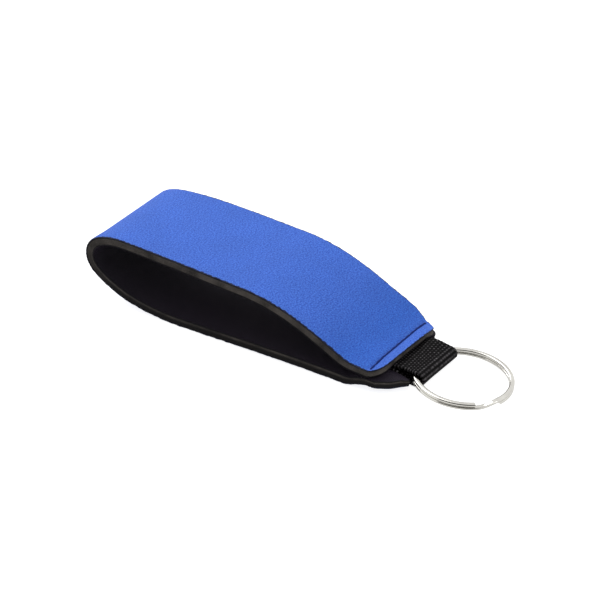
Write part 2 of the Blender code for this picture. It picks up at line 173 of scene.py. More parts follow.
shoulder = (-SHOULDER_FROM_STITCH, LOOP_HEIGHT - SHOULDER_DROP)
crest = (CREST_FROM_FOLD - LOOP_LENGTH, LOOP_HEIGHT)
nose = (-LOOP_LENGTH, NOSE_HEIGHT)
landing = (LANDING_FROM_FOLD - LOOP_LENGTH, 0.0)
back = (crest[0] - shoulder[0]) / 3
upper_line = stretch((0.0, EDGE_TOP), (-RAMP_REACH, EDGE_TOP + RAMP_REACH * RAMP_SLOPE),
                     (shoulder[0] + SHOULDER_REACH, shoulder[1] - SHOULDER_REACH * SHOULDER_SLOPE),
                     shoulder, RAMP_ROWS)
upper_line += stretch(shoulder, (shoulder[0] + back, shoulder[1] - back * SHOULDER_SLOPE),
                      (crest[0] - back, crest[1]), crest, BACK_ROWS)
upper_line += stretch(crest, (crest[0] - CREST_REACH, crest[1]),
                      (nose[0], nose[1] + NOSE_REACH_UP), nose, CREST_ROWS)
lower_line = stretch(nose, (nose[0], nose[1] - NOSE_REACH_DOWN),
                     (landing[0] - LANDING_REACH, 0.0), landing, FOLD_ROWS)
lower_line += [(x, 0.0) for x in np.linspace(landing[0], 0.0, TABLE_ROWS)]
band_line = np.array(upper_line + lower_line)
band_run = np.concatenate([[0.0], np.cumsum(np.hypot(*np.diff(band_line, axis=0).T))])
nose_run = band_run[len(upper_line)]
print("band's outer face runs", mm(band_run[-1]), "mm round the loop,", len(band_line), "rows")

# %% [markdown]
# ## How the seam deforms the band
#
# Sewing presses the two ends together. They get thinner, thinner still over the webbing, the stitches
# pull a groove into the face, and the whole seam lies a little rolled and out of square. Each of these
# is a small function of the place, added to the plain outline.

# %% Pinch and roll of the seam
def over_webbing(y):
    return 1 - np.clip((np.abs(y) - WEB_SIDE) / PINCH_SPREAD, 0.0, 1.0)


def twist(x, y):
    return ease(1 + x / np.where(y > 0, FAR_TWIST_RUN, NEAR_TWIST_RUN))


def skew_shift(x, y):
    return -y * SKEW_SLOPE * twist(x, y) * ease((RING_X - RING_OUTER - x) / UPPER_FLAP)


def layer_thickness(x, y, upper):
    seam_pinch_and_shade = EDGE_PINCH + (np.where(upper, UPPER_PINCH, LOWER_PINCH) - EDGE_PINCH) * over_webbing(y)
    return BAND_THICKNESS + (seam_pinch_and_shade - BAND_THICKNESS) * ease(1 + x / PINCH_RUN)


def seam_shift(x, y, upper):
    high = -y * ROLL_SLOPE * twist(x, y) + SEAM_CROWN * over_webbing(y) * ease(1 + x / PINCH_RUN)
    belly = (EDGE_BOTTOM - MIDDLE_BOTTOM) * over_webbing(y)
    return np.where(upper, high, (EDGE_BOTTOM - belly - y * ROLL_SLOPE) * ease(1 + x / LOWER_LIFT_RUN))


print("seam is", mm(EDGE_TOP - EDGE_BOTTOM, 2), "mm thick at its edges")

# %% [markdown]
# Past the stitches the two layers end in flaps, cut by eye: the corners are rounded, the upper cut is
# slanted, and the lower layer leaves a tongue beside the webbing. The groove is deepest at each needle hole.

# %% Flaps and groove
TONGUE_FRAY, TONGUE_CORNER, TONGUE_CORNER_REACH = 1.3 * MM, 1.6 * MM, 3 * MM
FLAP_SLANT_NEAR, FLAP_SLANT_FAR, FAR_CORNER_CUT = 0.45 * MM, 0.95 * MM, 1.0 * MM
NEAR_STRETCH, FAR_STRETCH, LOWER_STRETCH = 2.5, 1.85, 1.5
STITCH_PITCH, STITCH_MARGIN, HOLE_DEPTH = 2.9 * MM, 1.2 * MM, 0.15 * MM


def beside_webbing(y):
    """1 on the near side of the webbing, 0 over it and beyond."""
    return ease((-y - WEB_SIDE) / TONGUE_SPREAD)


def flap_end(y, upper):
    """How far the cut end lies past the stitches."""
    length = np.where(upper, UPPER_FLAP, LOWER_FLAP)
    upper_radius = np.where(y > 0, UPPER_FAR_RADIUS + FAR_CORNER_CUT, UPPER_NEAR_RADIUS)
    radius = np.where(upper, upper_radius, LOWER_FAR_RADIUS)
    stretched = radius * np.where(upper, np.where(y > 0, FAR_STRETCH, NEAR_STRETCH), LOWER_STRETCH)
    into = np.maximum(np.abs(y) - (HALF_WIDTH - stretched), 0.0) / stretched
    rounded = length - radius + radius * np.sqrt(np.maximum(1 - into ** 2, 0.0))
    slant = np.where(y > 0, FLAP_SLANT_FAR, FLAP_SLANT_NEAR) * y / HALF_WIDTH
    rounded = rounded + np.where(upper, slant, 0.0)
    oblique = TONGUE_LENGTH + TONGUE_FRAY - (-y - WEB_SIDE) * TONGUE_CUT
    oblique = oblique - TONGUE_CORNER * np.clip(1 - (HALF_WIDTH + y) / TONGUE_CORNER_REACH, 0.0, 1.0) ** 2
    tongue = LOWER_FLAP + (oblique - LOWER_FLAP) * beside_webbing(y)
    return np.where(upper | (y > 0), rounded, tongue)


def groove(x, y):
    """Depth of the stitches' groove, which is gone where the row of stitches ends."""
    at_hole = 0.5 + 0.5 * np.cos(2 * pi * y / STITCH_PITCH)
    sewn = ease((HALF_WIDTH - np.abs(y)) / (2 * STITCH_MARGIN))
    return (GROOVE_DEPTH + HOLE_DEPTH * at_hole) * (1 - ease(np.abs(x) / GROOVE_HALF_WIDTH)) * sewn


print("tongue reaches", mm(flap_end(-HALF_WIDTH, False)), "mm past the stitches")

# %% [markdown]
# Cloth never lies quite true. The seam's near edge sags because no webbing holds it, the flap's far
# corner is drawn in, the fold bulges and the whole band rolls a little. Each swelling along the band is
# one smooth wave, written as its height, its middle and its reach.

# %% Uneven lie of the cloth
def wave(place, height, middle, reach):
    return height * np.exp(-((place - middle) / reach) ** 2)


def run_at(x, line):
    """Length along the band up to the place x on one of its two layers."""
    xs = np.array([p[0] for p in line])
    way = np.sign(xs[-1] - xs[0])
    runs = band_run[:len(xs)] if line is upper_line else band_run[len(upper_line):]
    return float(np.interp(way * x, way * xs, runs))


FOLD_ROLL = (-0.5 * MM, run_at(-92 * MM, upper_line), 11 * MM)
MIDDLE_ROLL = (0.15 * MM, run_at(-52 * MM, upper_line), 22 * MM)
MIDDLE_ARCH = (0.28 * MM, MIDDLE_ROLL[1], 24 * MM)
BENCH_CURL = (0.45 * MM, run_at(-30 * MM, lower_line), 26 * MM)
BELLY_SINK = (0.5 * MM, run_at(-88 * MM, lower_line), 9 * MM)
NOSE_SWELL = (0.65 * MM, nose_run + 7.5 * MM, 6 * MM)
NOSE_FLAT, NOSE_FLAT_SPREAD = (0.4 * MM, nose_run - 4 * MM, 7 * MM), 8 * MM
UPPER_SAG, LOWER_SAG, UPPER_DIP, LOWER_DIP = 0.45 * MM, 1.0 * MM, 0.4 * MM, 0.15 * MM
DIP_AT, DIP_REACH = -7 * MM, 4 * MM
TONGUE_DROOP, DROOP_START = 0.75 * MM, 0.8 * LOWER_FLAP
CORNER_RUN, CORNER_IN, CORNER_THINNED = 2.5 * MM, 1.3 * MM, 0.35
UPPER_CORNER_DOWN, LOWER_CORNER_DOWN = 1.4 * MM, 0.45 * MM


def beyond_webbing(y):
    """From 0 at the webbing's far side to 1 at the band's far edge."""
    return np.maximum(y - WEB_SIDE, 0.0) / (HALF_WIDTH - WEB_SIDE)


def near_edge_sag(x, y, upper):
    sag = np.where(upper, UPPER_SAG, LOWER_SAG) * ease(1 + x / LOWER_LIFT_RUN)
    dip = wave(x, np.where(upper, UPPER_DIP, LOWER_DIP), DIP_AT, DIP_REACH)
    return (sag + dip) * ease((-y - WEB_SIDE) / (HALF_WIDTH - WEB_SIDE))


def far_corner_draw(x, y):
    """How much the flaps' far corners are drawn in and pressed down, from 0 to 1."""
    return beyond_webbing(y) ** 2 * ease((x + CORNER_RUN) / (UPPER_FLAP + CORNER_RUN))


def tongue_droop(x, y, upper):
    """Past the flap the tongue lies loose, so its end hangs lower."""
    loose = beside_webbing(y) * ease((x - DROOP_START) / LOWER_FLAP)
    return np.where(upper, 0.0, TONGUE_DROOP * loose)


def nose_swell(run, y):
    """The lower half of the fold bulges, its upper half is flatter away from the near edge."""
    return wave(run, *NOSE_SWELL) - wave(run, *NOSE_FLAT) * ease((y + HALF_WIDTH) / NOSE_FLAT_SPREAD)


def uneven_lie(run, y):
    """The fold rolls to one edge, the middle to the other, and the near edge of the underside curls."""
    rolled = wave(run, *FOLD_ROLL) + wave(run, *MIDDLE_ROLL)
    curled = wave(run, *BENCH_CURL) * ease(-y / HALF_WIDTH)
    return rolled * y / HALF_WIDTH + curled + wave(run, *MIDDLE_ARCH) - wave(run, *BELLY_SINK)


print("fold's waves lie", [mm(w[1]) for w in (FOLD_ROLL, NOSE_SWELL, BELLY_SINK)], "mm along the band")

# %% [markdown]
# ## Laying a sheet along the path
#
# A sheet is a block of points: rows along the band, columns across it, and levels through it. Only the
# points on the block's six sides become vertices. Doing it by hand with a plane and modifiers would work
# on a plain strip, but the flaps' cut corners and the pinched seam need every point placed by rule.
# Each piece also gets a UV map in metres, so that a knit keeps its true size wherever the band bends.

# %% Rows, columns and one point of the band
FLAP_SHARES = np.linspace(0.0, 1.0, 15)[1:]
EDGE_STEPS = np.array([0.0, 0.12, 0.3, 0.6, 1.1, 1.8, 2.6, 3.4]) * MM
WEB_STEPS = np.array([-0.6, -0.1, 0.0, 0.35, 0.8, 1.3, 1.8, 2.6, 4.1]) * MM
INNER_MARGIN, INNER_STEP = 1.0 * MM, 1.1 * MM


def band_rows():
    """x, z, inward normal, upper or not, share of the flap, and length so far, for every row."""
    along = np.gradient(band_line, axis=0)
    along /= np.linalg.norm(along, axis=1)[:, None]
    upper = np.arange(len(band_line)) < len(upper_line)
    back_shares = FLAP_SHARES[::-1]
    n = len(FLAP_SHARES)
    x = np.pad(band_line[:, 0], n)
    z = np.pad(band_line[:, 1], n)
    z[:n] = EDGE_TOP + UPPER_FLAP_RISE * back_shares
    nx = np.pad(-along[:, 1], n)
    nz = np.pad(along[:, 0], n, constant_values=(-1, 1))
    up = np.pad(upper, n, constant_values=(True, False))
    share = np.concatenate([back_shares, np.zeros(len(band_line)), FLAP_SHARES])
    run = np.concatenate([-UPPER_FLAP * back_shares, band_run, band_run[-1] + LOWER_FLAP * FLAP_SHARES])
    return x, z, nx, nz, up, share, run


def band_columns():
    """Places across the band, close together near its edges and near the webbing's."""
    inside = np.arange(0.0, WEB_SIDE - INNER_MARGIN, INNER_STEP)
    half = np.concatenate([HALF_WIDTH - EDGE_STEPS, WEB_SIDE + WEB_STEPS, inside])
    half = np.unique(np.round(half, 6))
    return np.concatenate([-half[:0:-1], half])


ROWS, COLUMNS = band_rows(), band_columns()
print(len(ROWS[0]), "rows by", len(COLUMNS), "columns")


def band_points(y, depth):
    """Places of all rows at the columns y, at one depth below the outer face."""
    x, z, nx, nz, up, share, run = [a[:, None] for a in ROWS]
    y = y[None, :]
    x = x + share * flap_end(y, up)
    drawn = far_corner_draw(x, y)
    deep = depth(x, y, up) * (1 - np.where(up, CORNER_THINNED, 0.0) * drawn)
    z = z + nz * deep + seam_shift(x, y, up)
    z = z - near_edge_sag(x, y, up) - tongue_droop(x, y, up) + uneven_lie(run, y)
    z = z - np.where(up, UPPER_CORNER_DOWN, LOWER_CORNER_DOWN) * drawn
    across = y - FAR_PULL_IN * beyond_webbing(y) * ease(1 + x / PULL_IN_RUN)
    across = across - np.where(up, CORNER_IN, 0.0) * drawn
    x = x - nose_swell(run, y)
    return np.stack([x + nx * deep + skew_shift(x, y) + ORIGIN_X, across + 0 * x, z], axis=-1)

# %% [markdown]
# Each side of the block is a grid of quads, and sides that meet share vertices, so the mesh is closed.
# The UV map and the mask go in now, while rows, columns and levels are still known.

# %% A block of points becomes a closed mesh
CREASE_ANGLE = radians(50)


def block_mesh(name, points, run, across, label="depth", values=None):
    """points[row, column, level]; the closed skin of the block, with a UV map in metres and one mask."""
    rows, cols, levels = points.shape[:3]
    number = -np.ones((rows, cols, levels), int)
    edge = np.ones((rows, cols, levels), bool)
    edge[1:-1, 1:-1, 1:-1] = False
    number[edge] = np.arange(edge.sum())

    def quads(grid):
        return np.stack([grid[:-1, :-1], grid[1:, :-1], grid[1:, 1:], grid[:-1, 1:]], -1).reshape(-1, 4)

    sides = [quads(number[:, :, 0]), quads(number[:, :, -1])[:, ::-1],
             quads(number[:, 0, :])[:, ::-1], quads(number[:, -1, :]),
             quads(number[0]), quads(number[-1])[:, ::-1]]
    faces = np.concatenate(sides)
    mesh = bpy.data.meshes.new(name)
    mesh.from_pydata(points[edge].tolist(), [], faces.tolist())
    along = run[:, None, None] + 0 * points[..., 0]
    uv = np.stack(np.broadcast_arrays(across[None, :, None], along), -1)[edge]
    layer = mesh.uv_layers.new(name="UVMap")
    layer.data.foreach_set("uv", uv[faces.ravel()].astype(np.float32).ravel())
    if values is None:
        values = np.linspace(0, 1, levels)[None, None, :]
    mask = mesh.attributes.new(label, "FLOAT", "POINT")
    mask.data.foreach_set("value", np.broadcast_to(values, edge.shape)[edge].astype(np.float32))
    obj = bpy.data.objects.new(name, mesh)
    put_in_scene(obj)
    face_outwards(obj)
    return obj


def face_outwards(obj):
    """Outward normals and smooth shading, with the cut edges kept crisp."""
    select_only(obj)
    bpy.ops.object.mode_set(mode="EDIT")
    bpy.ops.mesh.select_all(action="SELECT")
    bpy.ops.mesh.normals_make_consistent(inside=False)
    bpy.ops.object.mode_set(mode="OBJECT")
    bpy.ops.object.shade_smooth_by_angle(angle=CREASE_ANGLE)
    obj.select_set(False)
    print(obj.name, "has", len(obj.data.polygons), "faces")

# %% [markdown]
# ## The outer knit
#
# The blue face is a thin knit glued to the foam. Where the band was cut, the knit's edge is not a clean
# line: single loops stick out or are missing. The two faces of the block are moved a little along the
# cut, each row by its own small amount, to give that ragged line.

# %% Outer jersey
chance = np.random.default_rng(11)


def ragged(count, reach):
    """A rough line: small random steps, each averaged with its neighbour."""
    steps = chance.normal(0.0, 1.0, count + 4)
    return reach * np.convolve(steps, (0.5, 0.5), mode="same")[2:-2]


def ragged_edges(points, reach):
    """Moves the cut sides of a block in and out by small random amounts."""
    rows, cols = points.shape[:2]
    for side in (0, -1):
        points[:, side, :, 1] += ragged(rows, reach)[:, None]
        points[side, :, :, 0] += ragged(cols, reach)[:, None]


def layer_block(levels):
    """Stacks the band's points at several depths into one block."""
    return np.stack([band_points(COLUMNS, depth) for depth in levels], axis=2)


def jersey_level(share):
    return lambda x, y, up: groove(x, y) + JERSEY_THICKNESS * share


def rounded_down(points, reach, drop):
    """Lets the outermost columns of the outer face sink a little, as cut cloth does."""
    sunk = drop * ease(1 - (HALF_WIDTH - np.abs(COLUMNS)) / reach)
    nx, nz = ROWS[2][:, None], ROWS[3][:, None]
    points[:, :, 0, 0] += nx * sunk[None, :]
    points[:, :, 0, 2] += nz * sunk[None, :]


jersey_block = layer_block([jersey_level(share) for share in (0.0, 0.5, 1.0)])
rounded_down(jersey_block, reach=0.6 * MM, drop=0.12 * MM)
ragged_edges(jersey_block, reach=0.09 * MM)
blue_jersey = block_mesh("blue_jersey", jersey_block, ROWS[6], COLUMNS)

# %% [markdown]
# ## The foam
#
# The foam's cut edge is what the photograph shows all round the loop: a dark grey-brown band, slightly
# hollow because the knit on each side holds the foam back while its middle relaxes. Seven levels through
# the thickness are enough to draw that hollow.

# %% Foam core
HAIR, HOLLOW_DEPTH, CUT_BACK = 0.02 * MM, 0.16 * MM, 0.05 * MM


def foam_level(share):
    def depth(x, y, up):
        top = groove(x, y) + JERSEY_THICKNESS + HAIR
        bottom = layer_thickness(x, y, up) - JERSEY_THICKNESS - HAIR
        return top + (bottom - top) * share
    return depth


foam_shares = np.linspace(0, 1, 7)
foam_block = layer_block([foam_level(share) for share in foam_shares])
hollow = HOLLOW_DEPTH * np.sin(pi * foam_shares) + CUT_BACK
foam_block[:, 0, :, 1] += hollow
foam_block[:, -1, :, 1] -= hollow
foam_block[0, :, :, 0] -= hollow
foam_block[-1, :, :, 0] -= hollow
ragged_edges(foam_block, reach=0.02 * MM)
foam_strip = block_mesh("foam_strip", foam_block, ROWS[6], COLUMNS)

# %% [markdown]
# ## The lining
#
# The same knit in black lines the inside of the loop. It lies on the foam's inner side, so its depth
# differs, and its mask runs the other way, because here the last level is the face that one sees.

# %% Lining jersey
def lining_level(share):
    return lambda x, y, up: layer_thickness(x, y, up) - JERSEY_THICKNESS * (1 - share)


lining_block = layer_block([lining_level(share) for share in (0.0, 0.5, 1.0)])
ragged_edges(lining_block, reach=0.04 * MM)
from_face = np.array([1.0, 0.5, 0.0])[None, None, :]
black_lining = block_mesh("black_lining", lining_block, ROWS[6], COLUMNS, values=from_face)

# %% [markdown]
# ## The webbing tab
#
# The webbing is woven, thick and ribbed: every weft pushes up a rib across it, and the warp crosses each
# rib in short bars, set like bricks from one rib to the next. At the ring it folds over, and there the
# ribs show in the outline, so they are real shape and not only a bump in the material.

# %% Path of the webbing
WEB_STEP = 0.14 * MM


def ring_plane(x):
    return RING_CENTRE.z - (RING_NORMAL.x * (x - RING_X) - RING_NORMAL.y * RING_SIDE_SHIFT) / RING_NORMAL.z


def lower_web_height(x):
    on_band = MIDDLE_BOTTOM * ease(1 + x / LOWER_LIFT_RUN) + float(layer_thickness(x, 0.0, False))
    on_band += WEB_CLEARANCE + WEB_THICKNESS / 2
    parted = ease((x - LOWER_PARTING) / (RING_X - RING_OUTER - LOWER_PARTING))
    return on_band + (ring_plane(x) - TUNNEL_MIDDLE - on_band) * parted


def upper_web_height(x):
    on_lower = lower_web_height(min(x, LOWER_PARTING)) + WEB_THICKNESS + WEB_GAP
    parted = ease((x - UPPER_PARTING) / (RING_X - RING_OUTER - UPPER_PARTING))
    return on_lower + (ring_plane(x) + TUNNEL_MIDDLE - on_lower) * parted


xs = np.linspace(-TAIL_LENGTH, FOLD_X, 160)
turn = [pi / 2 - pi * i / 40 - RING_PITCH for i in range(1, 40)]
line = [(x, upper_web_height(x)) for x in xs]
line += [(FOLD_X + TUNNEL_MIDDLE * cos(a), ring_plane(FOLD_X) + TUNNEL_MIDDLE * sin(a)) for a in turn]
line = np.array(line + [(x, lower_web_height(x)) for x in xs[::-1]])
line_run = np.concatenate([[0.0], np.cumsum(np.hypot(*np.diff(line, axis=0).T))])
web_run = np.arange(0.0, line_run[-1], WEB_STEP)
web_line = np.stack([np.interp(web_run, line_run, line[:, k]) for k in (0, 1)], -1)
print("webbing is", mm(web_run[-1]), "mm long")

# %% [markdown]
# Two waves multiplied give the weave: one along the webbing for the ribs, one across it for the bars,
# moved half a bar from rib to rib. Round the fold and along the selvedges the bars run together.

# %% Height of the weave
RIB_PITCH, BAR_PITCH, RIB_HEIGHT = 1.1 * MM, 1.15 * MM, 0.18 * MM
RIB_FULLNESS, BAR_FULLNESS = 0.8, 0.9
BAR_DRIFT, DRIFT_TURN = 0.12, 7.3
FOLD_MERGED, FOLD_REACH, FOLD_RISE, FOLD_SHIFT = 0.8, 1.4, 3.0 * MM, 0.8 * MM
SELVEDGE = 1.0 * MM


def weave(run, y):
    """Height of the weave from 0 to 1."""
    rib = run / RIB_PITCH
    bar = y / BAR_PITCH + 0.5 * np.mod(np.floor(rib), 2) + BAR_DRIFT * np.sin(DRIFT_TURN * np.floor(rib))
    ribs = np.abs(np.sin(pi * rib)) ** RIB_FULLNESS
    bars = np.abs(np.sin(pi * bar)) ** BAR_FULLNESS
    at_fold = FOLD_MERGED * ease(FOLD_REACH - np.abs(run - web_run[-1] / 2 + FOLD_SHIFT) / FOLD_RISE)
    at_selvedge = 1 - ease((HALF_WEB - np.abs(y)) / SELVEDGE)
    return ribs * (bars + (1 - bars) * np.maximum(at_fold, at_selvedge))


near_selvedge = [side * (HALF_WEB - inset * MM) for side in (-1, 1) for inset in (0.03, 0.08, 0.15)]
web_columns = np.concatenate([np.linspace(-HALF_WEB, HALF_WEB, 96), near_selvedge])
web_columns = np.unique(np.round(web_columns, 7))
crests = weave(web_run[:, None], web_columns[None, :])
print("weave has", round(web_run[-1] / RIB_PITCH), "ribs and", len(web_columns), "columns")

# %% [markdown]
# The weave is laid on the path. Past the seam the webbing turns from the band's tilt to the ring's, its
# near selvedge hangs and its far one arches.

# %% Ribbed webbing
WEB_ROUNDING, SELVEDGE_SHARE = 0.35 * MM, 0.15
HANG, HANG_START, HANG_RUN, HANG_SIDE, HANG_TURN = 0.85 * MM, 1 * MM, 4 * MM, 2 * MM, 3 * MM
ARCH, ARCH_AT, ARCH_REACH = 0.6 * MM, 7.5 * MM, 3.5 * MM

along = np.gradient(web_line, axis=0)
along /= np.linalg.norm(along, axis=1)[:, None]
wx, wz = web_line[:, 0][:, None], web_line[:, 1][:, None]
wy = web_columns[None, :]
clear = RING_X - RING_OUTER
parted = ease((wx - LOWER_PARTING) / (clear - LOWER_PARTING))
side_slope = ROLL_SLOPE * ease(1 + wx / LOWER_LIFT_RUN) * (1 - parted) + tan(RING_ROLL) * parted
drawn_back = (HALF_WEB - wy) * tan(FOLD_SKEW) * ease((wx - clear) / (FOLD_X - clear))
edge_round = np.sqrt(1 - np.clip(1 - (HALF_WEB - np.abs(wy)) / WEB_ROUNDING, 0, 1) ** 2)
edge_round = SELVEDGE_SHARE + (1 - SELVEDGE_SHARE) * edge_round
on_lower = ease((web_run[:, None] - web_run[-1] / 2) / HANG_TURN)
hanging = ease((wx - HANG_START) / HANG_RUN) * ease((-wy - HANG_SIDE) / (HALF_WEB - HANG_SIDE)) * on_lower
arched = wave(wx, 1.0, ARCH_AT, ARCH_REACH) * ease(wy / HALF_WEB) * (1 - on_lower)
levels = []
for side in (1.0, 0.5, 0.0, -0.5, -1.0):
    away = (WEB_THICKNESS / 2 - RIB_HEIGHT + RIB_HEIGHT * crests) * edge_round * side
    px = wx - along[:, 1][:, None] * away + skew_shift(wx, wy) - drawn_back + ORIGIN_X
    pz = wz + along[:, 0][:, None] * away - wy * side_slope - HANG * hanging + ARCH * arched
    levels.append(np.stack([px, wy + 0 * px, pz], -1))
shown = np.stack([share * crests for share in (1.0, 0.4, 0.2, 0.4, 1.0)], axis=2)
web_tab = block_mesh("web_tab", np.stack(levels, axis=2), web_run, web_columns, "crest", shown)

# %% [markdown]
# ## The stitches
#
# One row of lockstitch closes the strap. Its thread has two plies twisted round each other and dives
# into the band at every needle hole. A curve with a round bevel gives each ply; the two are then made
# into one mesh.

# %% Two-ply thread
PLY_RADIUS, PLY_OFFSET, TWIST_PITCH, POINTS_PER_STITCH = 0.15 * MM, 0.12 * MM, 0.9 * MM, 28
HOLE_SHARE, RIM_LIFT, HOLE_DIVE, THREAD_LIFT, THREAD_BOW = 0.12, 0.15 * MM, 0.25 * MM, 0.14 * MM, 0.12 * MM


def thread_line(upper, y):
    """Centre of the thread at the place y: bowed up between the needle holes, diving into each."""
    row = len(FLAP_SHARES) if upper else len(FLAP_SHARES) + len(band_line) - 1
    hop = abs(sin(pi * (y / STITCH_PITCH)))
    if hop > HOLE_SHARE:
        lift = THREAD_LIFT + THREAD_BOW * hop
    else:
        lift = RIM_LIFT - HOLE_DIVE * (1 - hop / HOLE_SHARE)
    point = band_points(np.array([y]), lambda x, yy, up: groove(x, yy) - lift)[row, 0]
    return Vector(point)


def stitch_thread(name, upper):
    count = int((BAND_WIDTH - 2 * STITCH_MARGIN) / STITCH_PITCH)
    ys = np.linspace(-count / 2 * STITCH_PITCH, count / 2 * STITCH_PITCH, count * POINTS_PER_STITCH + 1)
    centre = [thread_line(upper, y) for y in ys]
    curve = bpy.data.curves.new(name, "CURVE")
    curve.dimensions = "3D"
    curve.bevel_depth = PLY_RADIUS
    curve.bevel_resolution = 2
    curve.use_fill_caps = True
    for ply in (0.0, pi):
        spline = curve.splines.new("POLY")
        spline.points.add(len(ys) - 1)
        for point, place, y in zip(spline.points, centre, ys):
            angle = 2 * pi * y / TWIST_PITCH + ply
            point.co = (*(place + Vector((cos(angle), 0.0, sin(angle))) * PLY_OFFSET), 1.0)
    obj = bpy.data.objects.new(name, curve)
    put_in_scene(obj)
    select_only(obj)
    bpy.ops.object.convert(target="MESH")
    bpy.ops.object.shade_smooth()
    obj.select_set(False)
    print(name, "has", count, "stitches and", len(obj.data.polygons), "faces")
    return obj


needle_thread = stitch_thread("needle_thread", True)
bobbin_thread = stitch_thread("bobbin_thread", False)

# %% [markdown]
# ## The split ring
#
# The ring is one flat wire with softened corners, wound twice. It could be a curve with a profile, but
# here it is swept as by hand: the wire's section is drawn as a plane with bevelled corners, extruded and
# turned about the ring's axis a few degrees at a time, and lowered by one wire on the way through the
# step between its turns.

# %% Section of the wire
WIRE_ROUNDING, ROUNDING_STEPS = 0.45 * MM, 7
wire_middle = (RING_OUTER + RING_INNER) / 2
level = (WIRE_HEIGHT + TURN_GAP) / 2
bpy.ops.object.select_all(action="DESELECT")
bpy.ops.mesh.primitive_plane_add(size=1.0, location=(wire_middle, 0, level), rotation=(pi / 2, 0, 0))
nickel_ring = bpy.context.object
nickel_ring.name = "nickel_ring"
nickel_ring.scale = (WIRE_RADIAL, WIRE_HEIGHT, 1.0)
bpy.ops.object.transform_apply(location=True, rotation=True, scale=True)
bpy.ops.object.mode_set(mode="EDIT")
bpy.ops.mesh.select_all(action="SELECT")
bpy.ops.mesh.bevel(offset=WIRE_ROUNDING, offset_type="OFFSET", segments=ROUNDING_STEPS, affect="VERTICES")
bpy.ops.object.mode_set(mode="OBJECT")
print("wire section has", len(nickel_ring.data.vertices), "corners")

# %% [markdown]
# Each step extrudes the section, turns it on, and lowers it while the wire passes from the upper turn to
# the lower one.

# %% Sweep the wire through its two turns
TURN_STEPS, PASSAGE_STEPS = 110, 14


def wire_height(angle):
    return level * (1 - 2 * float(ease((JOGGLE_START - angle) / (JOGGLE_START - JOGGLE_END))))


def turn_selection(angle):
    """Turns the selected points about the ring's axis, anticlockwise seen from above."""
    bpy.ops.transform.rotate(value=-angle, orient_axis="Z", center_override=(0, 0, 0))


first_angle = JOGGLE_END + 2 * pi - END_BACKOFF
last_angle = JOGGLE_START - 2 * pi + END_BACKOFF
stops = [first_angle, JOGGLE_START, JOGGLE_END, last_angle]
wire_angles = [first_angle]
for begin, finish, count in zip(stops, stops[1:], (TURN_STEPS, PASSAGE_STEPS, TURN_STEPS)):
    wire_angles += [begin + (finish - begin) * (i + 1) / count for i in range(count)]
bpy.ops.object.mode_set(mode="EDIT")
bpy.ops.mesh.select_all(action="SELECT")
turn_selection(first_angle)
for before, after in zip(wire_angles, wire_angles[1:]):
    step = (0, 0, wire_height(after) - wire_height(before))
    bpy.ops.mesh.extrude_region_move(TRANSFORM_OT_translate={"value": step})
    turn_selection(after - before)
bpy.ops.object.mode_set(mode="OBJECT")
print("ring's wire has", len(nickel_ring.data.polygons), "faces")

# %% [markdown]
# So far the ring lies flat about the origin. Its mesh is tilted and moved into the webbing's fold, and
# its object stays unturned.

# %% Lay the ring in its place
nickel_ring.data.transform(Matrix.Translation(RING_CENTRE) @ RING_TURN.to_4x4())
face_outwards(nickel_ring)
low = min(v.co.z for v in nickel_ring.data.vertices)
print("ring's lowest point is", mm(low, 2), "mm above the table")

# %% [markdown]
# ## Shared effects
#
# Several materials need the same small things: knit loops, fine grain, and a soft mottling of colour.
# Each is a shader node group with named inputs, built once. A group gives out only values; the shader
# itself stays in each material.

# %% Helpers for building node trees
def add(tree, kind, values=(), **settings):
    """A node with its settings and input values; a value that is a socket is linked instead."""
    node = tree.nodes.new(kind)
    for key, value in settings.items():
        setattr(node, key, value)
    for key, value in dict(values).items():
        if isinstance(value, bpy.types.NodeSocket):
            tree.links.new(value, node.inputs[key])
        else:
            node.inputs[key].default_value = value
    return node


def calc(tree, operation, *values):
    return add(tree, "ShaderNodeMath", enumerate(values), operation=operation).outputs[0]


def times(tree, a, b):
    return calc(tree, "MULTIPLY", a, b)


def noise(tree, place, scale, detail=2.0, roughness=0.5):
    values = {"Vector": place, "Scale": scale, "Detail": detail, "Roughness": roughness}
    return add(tree, "ShaderNodeTexNoise", values).outputs["Fac"]


def axis(tree, place, letter):
    return add(tree, "ShaderNodeSeparateXYZ", {0: place}).outputs[letter]


def new_group(name, inputs, outputs):
    """An empty shader group, the outputs of its input node and the inputs of its output node."""
    group = bpy.data.node_groups.new(name, "ShaderNodeTree")
    group.interface.new_socket("Vector", in_out="INPUT", socket_type="NodeSocketVector")
    for label, default in inputs.items():
        socket = group.interface.new_socket(label, in_out="INPUT", socket_type="NodeSocketFloat")
        socket.default_value = default
    for label in outputs:
        group.interface.new_socket(label, in_out="OUTPUT", socket_type="NodeSocketFloat")
    return group, group.nodes.new("NodeGroupInput").outputs, group.nodes.new("NodeGroupOutput").inputs


# %% [markdown]
# A knit's face is columns of V-shaped loops. A wave across it gives the columns, and a wave along it,
# leaning on each leg of the V, gives the loops. A little noise makes them uneven.

